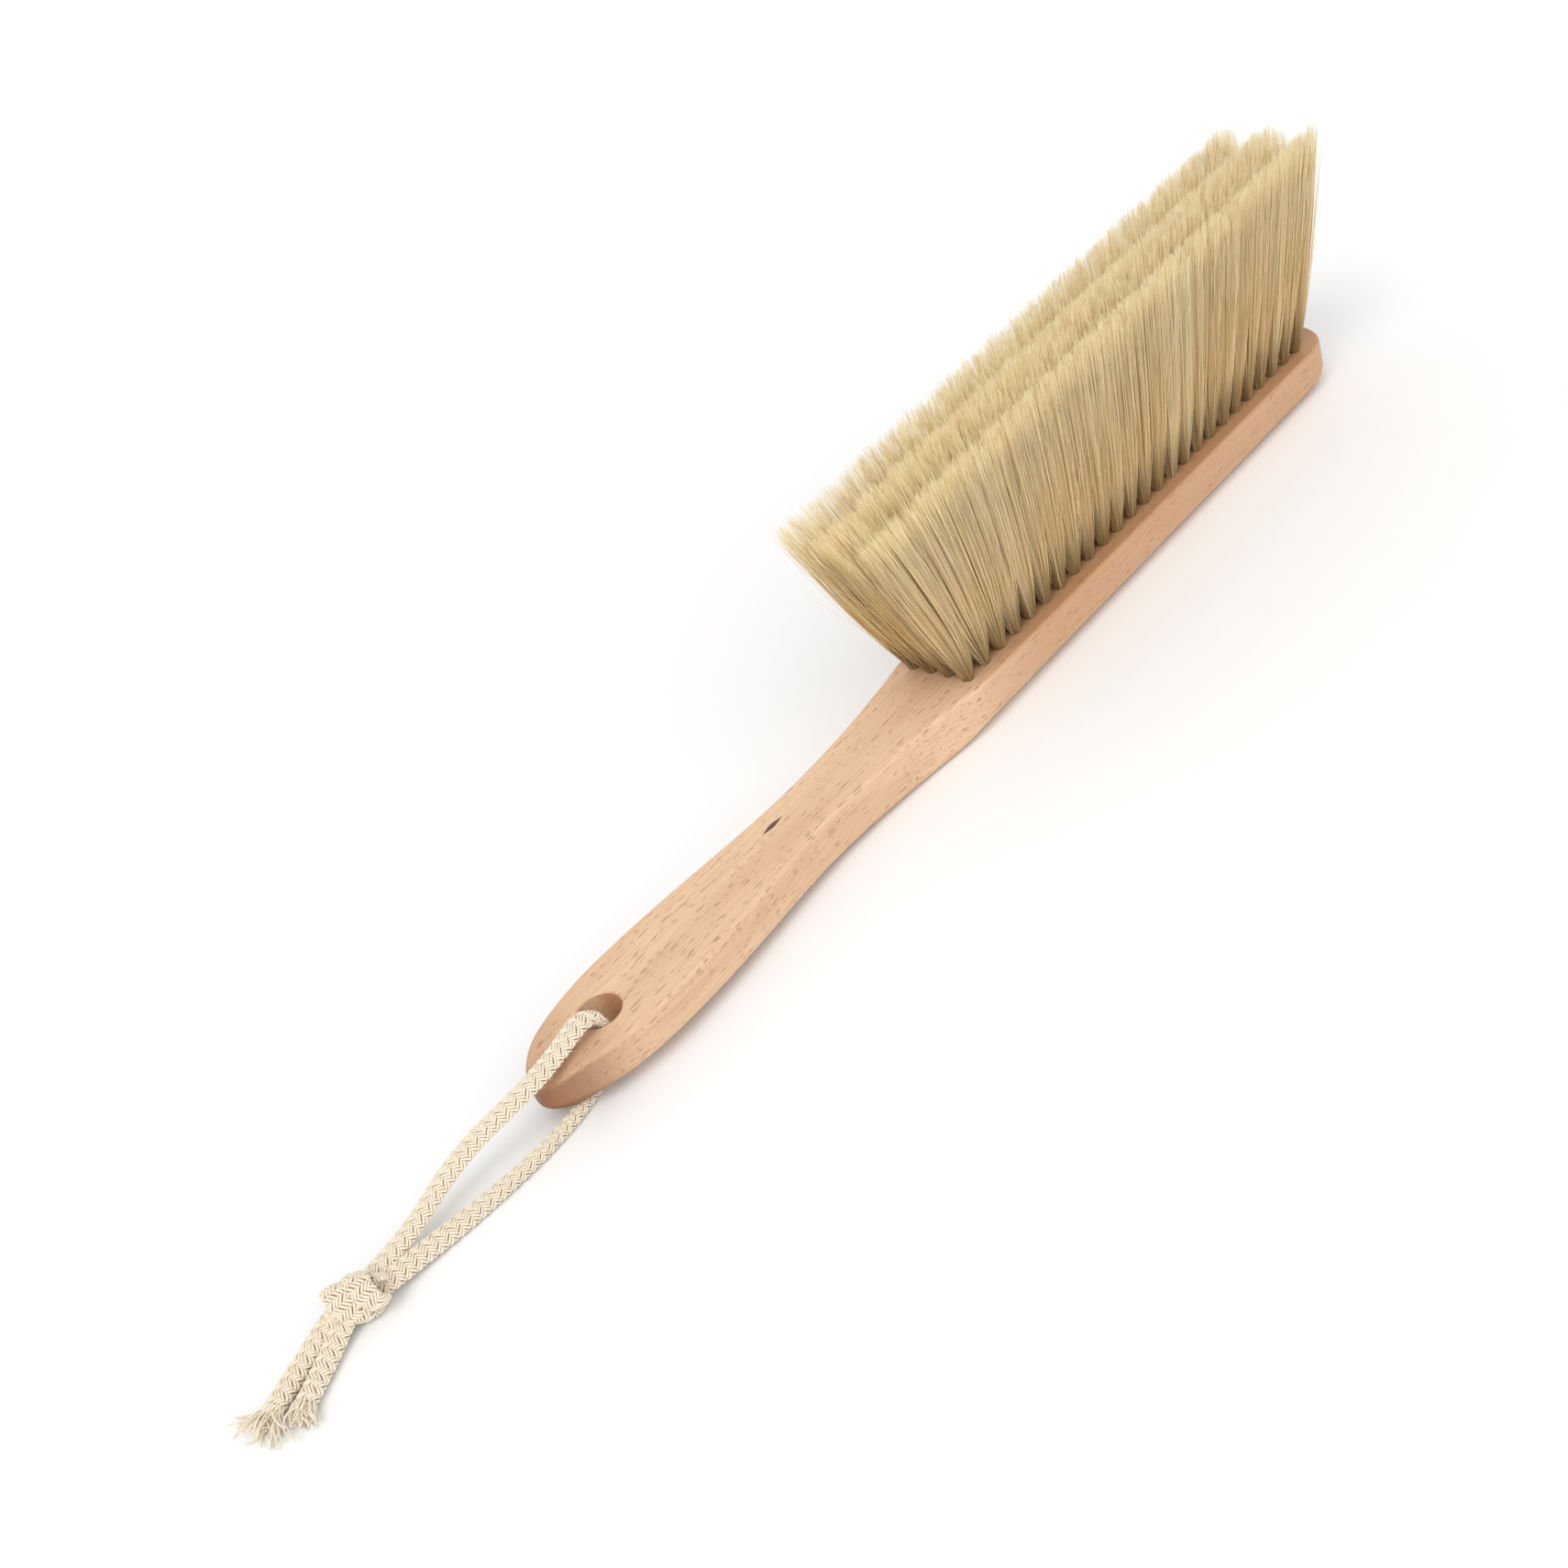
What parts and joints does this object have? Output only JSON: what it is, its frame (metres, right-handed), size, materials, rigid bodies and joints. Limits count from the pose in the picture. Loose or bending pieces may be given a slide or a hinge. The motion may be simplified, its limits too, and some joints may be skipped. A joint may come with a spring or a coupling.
{
  "type": "bee brush",
  "caption": "Long wooden bee brush with rows of soft pale bristle tufts along one side, a waisted handle with a hanging hole, and a knotted braided cord loop with frayed ends.",
  "frame": {"origin": "on the surface the brush lies on, under the middle of the box round its body and bristles", "axes": "+X from the handle's end to the head's tip, +Z the way the bristles point"},
  "size_m": [0.4785, 0.0385, 0.0827],
  "materials": {
    "beech": "satin",
    "bristle": "satin",
    "anchor_wire": "satin",
    "cotton_braid": "matte"
  },
  "bodies": {
    "brush": {"wooden_body": "beech", "tuft_rank_01": "bristle", "tuft_rank_02": "bristle", "tuft_rank_03": "bristle", "tuft_rank_04": "bristle", "tuft_rank_05": "bristle", "tuft_rank_06": "bristle", "tuft_rank_07": "bristle", "tuft_rank_08": "bristle", "tuft_rank_09": "bristle", "tuft_rank_10": "bristle", "tuft_rank_11": "bristle", "tuft_rank_12": "bristle", "tuft_rank_13": "bristle", "tuft_rank_14": "bristle", "tuft_rank_15": "bristle", "tuft_rank_16": "bristle", "tuft_rank_17": "bristle", "tuft_rank_18": "bristle", "tuft_rank_19": "bristle", "tuft_rank_20": "bristle", "tuft_rank_21": "bristle", "tuft_rank_22": "bristle", "tuft_rank_23": "bristle", "tuft_rank_24": "bristle", "tuft_rank_25": "bristle", "anchor_rank_01": "anchor_wire", "anchor_rank_02": "anchor_wire", "anchor_rank_03": "anchor_wire", "anchor_rank_04": "anchor_wire", "anchor_rank_05": "anchor_wire", "anchor_rank_06": "anchor_wire", "anchor_rank_07": "anchor_wire", "anchor_rank_08": "anchor_wire", "anchor_rank_09": "anchor_wire", "anchor_rank_10": "anchor_wire", "anchor_rank_11": "anchor_wire", "anchor_rank_12": "anchor_wire", "anchor_rank_13": "anchor_wire", "anchor_rank_14": "anchor_wire", "anchor_rank_15": "anchor_wire", "anchor_rank_16": "anchor_wire", "anchor_rank_17": "anchor_wire", "anchor_rank_18": "anchor_wire", "anchor_rank_19": "anchor_wire", "anchor_rank_20": "anchor_wire", "anchor_rank_21": "anchor_wire", "anchor_rank_22": "anchor_wire", "anchor_rank_23": "anchor_wire", "anchor_rank_24": "anchor_wire", "anchor_rank_25": "anchor_wire"},
    "loop": {"cord_upper_leg": "cotton_braid", "cord_lower_leg": "cotton_braid", "cord_left_tail": "cotton_braid", "cord_right_tail": "cotton_braid", "cord_knot": "cotton_braid", "frayed_end_left": "cotton_braid", "frayed_end_right": "cotton_braid"}
  },
  "joints": [
    {"name": "loop_swing", "type": "hinge", "parent": "brush", "child": "loop", "pos_m": [-0.1655, 0, 0.0094], "axis": [0, 0, 1], "range_deg": [-60, 60]}
  ]
}
